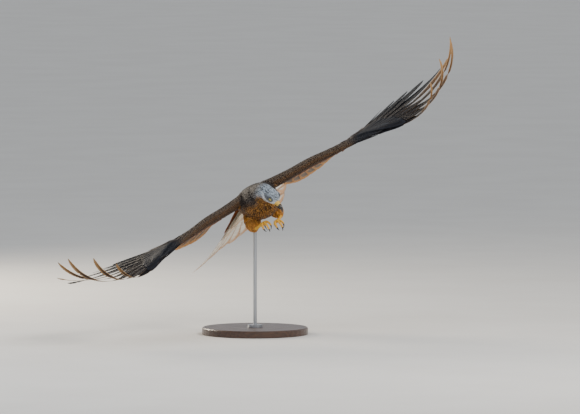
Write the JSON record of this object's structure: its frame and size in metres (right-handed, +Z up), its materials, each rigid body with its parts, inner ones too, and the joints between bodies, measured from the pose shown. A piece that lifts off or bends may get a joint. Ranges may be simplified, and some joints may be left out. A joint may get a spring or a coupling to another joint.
{
  "type": "bird of prey",
  "caption": "Still life-size model of a soaring bird of prey in a banked turn, wings spread, head bent to its curled feet, on a plain stand",
  "frame": {"origin": "middle of the underside of the stand's base", "axes": "X to the bird's left, Y to its back, Z up; the base lies in the XY plane"},
  "size_m": [1.3376, 0.8339, 0.9592],
  "materials": {
    "body_plumage": "matte rufous feathers with dark streaks",
    "head_plumage": "matte pale grey feathers with dark streaks",
    "wing_plumage": "matte brown feathers with pale rufous edges",
    "flight_plumage": "satin black brown feathers with a cool sheen",
    "tail_plumage": "matte rufous feathers, pale beneath",
    "bare_skin": "scaled yellow skin, satin",
    "horn": "dark smooth horn",
    "eye_surface": "wet clear gloss over a pale yellow iris",
    "stand_wood": "dark oiled wood",
    "stand_steel": "brushed steel"
  },
  "bodies": {
    "root": {"bill_lower": "horn", "bill_upper": "horn", "cere": "bare_skin", "claw_left_1": "horn", "claw_left_2": "horn", "claw_left_3": "horn", "claw_left_4": "horn", "claw_right_1": "horn", "claw_right_2": "horn", "claw_right_3": "horn", "claw_right_4": "horn", "eye_left": "eye_surface", "eye_right": "eye_surface", "foot_left": "bare_skin", "foot_right": "bare_skin", "head": "head_plumage", "neck": "head_plumage", "stand_base": "stand_wood", "stand_rod": "stand_steel", "tail": "tail_plumage", "thigh_left": "body_plumage", "thigh_right": "body_plumage", "torso": "body_plumage", "wing_arm_left": "wing_plumage", "wing_arm_right": "wing_plumage", "wing_hand_left": "flight_plumage", "wing_hand_right": "flight_plumage"}
  },
  "joints": []
}
